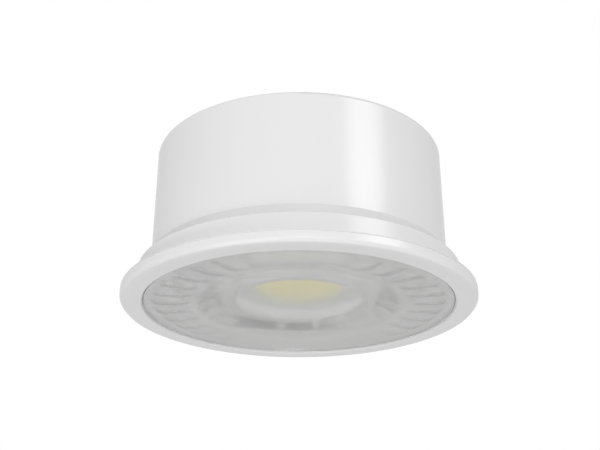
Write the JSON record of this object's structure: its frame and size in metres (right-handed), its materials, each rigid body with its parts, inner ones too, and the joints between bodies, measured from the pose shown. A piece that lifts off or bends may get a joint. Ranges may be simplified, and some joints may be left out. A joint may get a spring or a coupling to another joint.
{
  "type": "led spotlight module",
  "caption": "Round white recessed-spotlight insert: flanged ring, clear collimator lens, cup-shaped housing with an LED board and driver inside and a wire inlet at the back.",
  "frame": {"origin": "centre of the front face of the flange, in the plane that the module rests on", "axes": "+Z along the module's axis from the lens to the back of the housing; the lens looks along -Z; +X and +Y across it"},
  "size_m": [0.05, 0.05, 0.023],
  "materials": {
    "white_moulding": "satin moulded PBT",
    "clear_acrylic": "clear, polished",
    "yellow_phosphor": "matt silicone with phosphor",
    "white_silicone": "matt",
    "white_mask_board": "white solder mask on aluminium",
    "zinc_plated_steel": "bright zinc",
    "grey_silicone": "matt",
    "drawn_aluminium": "mill finish",
    "liner_plastic": "natural",
    "glass_epoxy": "green solder mask",
    "tinned_copper": "tinned",
    "capacitor_sleeve": "shrunk sleeve",
    "ferrite": "ground",
    "enamelled_copper": "enamelled wire",
    "blue_coating": "dipped",
    "resistor_coating": "dipped",
    "black_epoxy": "moulded",
    "chip_resistor_ceramic": "glazed",
    "chip_capacitor_ceramic": "fired",
    "bush_rubber": "soft moulded"
  },
  "bodies": {
    "root": {"front_ring": "white_moulding", "housing_shell": "white_moulding", "lens": "clear_acrylic", "phosphor_disc": "yellow_phosphor", "phosphor_dam": "white_silicone", "led_board": "white_mask_board", "board_screws": "zinc_plated_steel", "thermal_pad": "grey_silicone", "heat_spreader": "drawn_aluminium", "driver_liner": "liner_plastic", "driver_board": "glass_epoxy", "output_pins": "tinned_copper", "input_capacitor": "capacitor_sleeve", "output_capacitor": "capacitor_sleeve", "choke_core": "ferrite", "choke_winding": "enamelled_copper", "varistor": "blue_coating", "fuse_resistor": "resistor_coating", "bridge_rectifier": "black_epoxy", "driver_ic": "black_epoxy", "flyback_diode": "black_epoxy", "chip_resistors": "chip_resistor_ceramic", "chip_capacitors": "chip_capacitor_ceramic", "input_tags": "tinned_copper", "wire_bush": "bush_rubber"}
  },
  "joints": []
}
